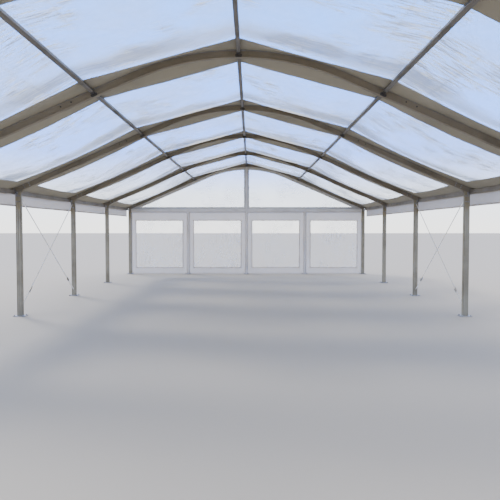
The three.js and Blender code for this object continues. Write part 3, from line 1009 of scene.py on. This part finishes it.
for part, material in (("border", border_fabric), ("film", window_film)):
    mesh = new_grid(1, 1, GABLE_COLUMNS, GABLE_ROWS[-1])
    cut_flat(mesh, 0, (-middle_half, middle_half), merge=1e-5)
    keep_faces(mesh, lambda along, up: is_gable_film(along, up) == (part == "film"))
    reshape(mesh, gable_place)
    bmesh.ops.remove_doubles(mesh, verts=mesh.verts, dist=1e-4)
    bmesh.ops.dissolve_degenerate(mesh, edges=mesh.edges, dist=1e-4)
    store_flat(mesh, lambda point: (point.x, point.z))
    film_area = sum(face.calc_area() for face in mesh.faces)
    reshape(mesh, lambda x, y, z: (x, y + GABLE_SHEET_WAVE * noise.noise(Vector((x * 2, 1, z * 5))), z))
    face_outward(mesh)
    piece = new_piece("gable_" + part, mesh, material, smooth=60)
    thicken(piece, GABLE_SHEET_THICKNESS)
    if part == "film":
        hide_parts("gable_sheet")


# Wind braces. Two crossed lengths of taut webbing in one bay of each side. Each is sewn double at both
# ends, where it meets a steel ring on the post, and has a ratchet near the lower one.
WEBBING_WIDTH = 0.025
WEBBING_THICKNESS = 0.002
WEBBING_CORNER = 0.0006
DOUBLED_THICKNESS = 2.6 * WEBBING_THICKNESS
LOOP = 0.09
RING_RADIUS = 0.017
RING_THICKNESS = 0.003
RATCHET_START = 0.45  # from the foot
RATCHET_END = 0.55
RATCHET_AXLES = {0.47: 0.005, 0.51: 0.009}  # their places and radii
AXLE_OVERHANG = 0.016
CHEEK_SPAN = (-0.012, 0.014)
CHEEK_SIDES = (0.002, 0.005)  # from the webbing's edge
HANDLE_START = 0.505
HANDLE_END = 0.6
HANDLE_SPAN = (0.01, 0.016)
HANDLE_BEVEL = 0.002


def make_webbing():
    """Off-white polyester webbing with ribs across it and dirty patches."""
    material, tree, surface = new_material("strap_webbing", Metallic=0.0, Roughness=0.8)
    places, _, colour = wear(tree, 6.0, (0.9, 0.86, 0.77, 1), (0.78, 0.73, 0.63, 1))
    tree.links.new(colour, surface["Base Color"])
    ribs = use_group(tree, weave, {"Vector": places["UV"], "Threads": 60.0})
    relief = shader_relief(tree, ribs["Height"], strength=0.15, distance=0.0003)
    tree.links.new(relief, surface["Normal"])
    return material


def new_ring(place):
    """A round steel ring in the XZ plane, its middle at a place along X."""
    mesh = bmesh.new()
    circle = bmesh.ops.create_circle(mesh, segments=8, radius=RING_THICKNESS,
                                     matrix=Matrix.Translation((RING_RADIUS, 0, 0)))
    bmesh.ops.spin(mesh, geom=circle["verts"] + mesh.edges[:], cent=(0, 0, 0), axis=(0, 1, 0),
                   angle=math.tau, steps=20, use_merge=True)
    bmesh.ops.remove_doubles(mesh, verts=mesh.verts, dist=1e-5)
    shift(mesh, place, 0, 0)
    return mesh


def make_brace(node, low, high, rising):
    slack = WEBBING_WIDTH * 0.9
    lower_y, upper_y = (low.y, high.y) if rising else (high.y, low.y)
    foot = Vector(((low.x + high.x) / 2, lower_y, low.z + slack))
    head = Vector(((low.x + high.x) / 2, upper_y, high.z - slack))
    length = (head - foot).length
    direction = (head - foot).normalized()
    sideways = Vector((1, 0, 0))
    lay = Matrix((direction, sideways, direction.cross(sideways))).transposed().to_4x4()
    lay.translation = foot

    start, end = 2 * RING_RADIUS, length - 2 * RING_RADIUS
    single = profile_points(WEBBING_WIDTH, WEBBING_THICKNESS, WEBBING_CORNER)
    doubled = profile_points(WEBBING_WIDTH, DOUBLED_THICKNESS, WEBBING_CORNER)
    strap = new_bar(single, [start, length / 2, end])
    for place in (start, end - LOOP):
        add_to(strap, new_bar(doubled, [place, place + LOOP]))
    bmesh.ops.transform(strap, matrix=lay, verts=strap.verts)
    piece = new_piece(node + "_webbing", strap, webbing, smooth=35)
    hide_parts(node)

    half = WEBBING_WIDTH / 2
    fittings = bmesh.new()
    for place in (RING_RADIUS, length - RING_RADIUS):
        add_to(fittings, new_ring(place))
    for cheek in (-1, 1):
        near, far = (cheek * (half + off) for off in CHEEK_SIDES)
        add_to(fittings, new_box((RATCHET_START, CHEEK_SPAN[0], near), (RATCHET_END, CHEEK_SPAN[1], far),
                                 SMALL_BEVEL))
    for place, radius in RATCHET_AXLES.items():
        add_rod(fittings, 12, radius, WEBBING_WIDTH + AXLE_OVERHANG, (place, 0, 0))
    add_to(fittings, new_box((HANDLE_START, HANDLE_SPAN[0], -half), (HANDLE_END, HANDLE_SPAN[1], half),
                             HANDLE_BEVEL))
    bmesh.ops.transform(fittings, matrix=lay, verts=fittings.verts)
    face_outward(fittings)
    piece = new_piece(node + "_fittings", fittings, zinc_steel, smooth=35)


webbing = make_webbing()
for side_name in SIDES:
    for run in ("rising", "falling"):
        node = f"brace_{run}_{side_name}"
        low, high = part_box(node)
        make_brace(node, low, high, rising=run == "rising")


# Floor. Plain, pale and matt.
floor_mesh = bmesh.new()
bmesh.ops.create_grid(floor_mesh, x_segments=1, y_segments=1, size=150)
floor_data = bpy.data.meshes.new("floor")
floor_mesh.to_mesh(floor_data)
floor_mesh.free()
floor_material, _, floor_surface = new_material("floor", Roughness=0.85)
floor_surface["Base Color"].default_value = (0.4, 0.365, 0.305, 1)
floor_data.materials.append(floor_material)
floor = bpy.data.objects.new("floor", floor_data)
bpy.context.scene.collection.objects.link(floor)

# Light. A soft pale sky all round, blue above the horizon and neutral overhead, brighter and bluer to
# the camera than as a lamp, and one wide lamp high behind on the left.
SKY = {0: (0.84, 0.84, 0.83), 0.06: (0.8, 0.86, 0.96), 0.13: (0.44, 0.7, 1.6), 0.42: (0.34, 0.66, 1.6),
       0.6: (0.75, 0.82, 0.95), 0.75: (1, 0.95, 0.87)}  # by the height of the direction
SKY_STRENGTH = 2.3
SEEN_STRENGTH = 1.0  # more than that to the camera
SEEN_SATURATION = 0.2
world = bpy.data.worlds.new("studio")
world.use_nodes = True
bpy.context.scene.world = world
sky = world.node_tree
sky.nodes.clear()
direction = shader_node(sky, "TexCoord").outputs["Generated"]
height = shader_node(sky, "SeparateXYZ", {"Vector": direction}).outputs["Z"]
ramp = shader_node(sky, "ValToRGB", {"Fac": height})
stops = ramp.color_ramp.elements
stops.remove(stops[1])
for place, colour in SKY.items():
    stop = stops[0] if place == 0 else stops.new(place)
    stop.color = (*colour, 1)
seen = shader_node(sky, "LightPath").outputs["Is Camera Ray"]
strength = shader_math(sky, "MULTIPLY_ADD", seen, SEEN_STRENGTH, SKY_STRENGTH)
saturation = shader_math(sky, "MULTIPLY_ADD", seen, SEEN_SATURATION, 1.0)
tinted = shader_node(sky, "HueSaturation", {"Color": ramp.outputs["Color"], "Saturation": saturation})
backdrop = shader_node(sky, "Background", {"Color": tinted.outputs["Color"], "Strength": strength})
output = shader_node(sky, "OutputWorld")
sky.links.new(backdrop.outputs["Background"], output.inputs["Surface"])

lamp_data = bpy.data.lights.new("lamp", "SUN")
lamp_data.energy = 2.6
lamp_data.angle = math.radians(14)
lamp_data.color = (1, 0.97, 0.92)
lamp = bpy.data.objects.new("lamp", lamp_data)
lamp.rotation_euler = (math.radians(-32), math.radians(-36), 0)
bpy.context.scene.collection.objects.link(lamp)
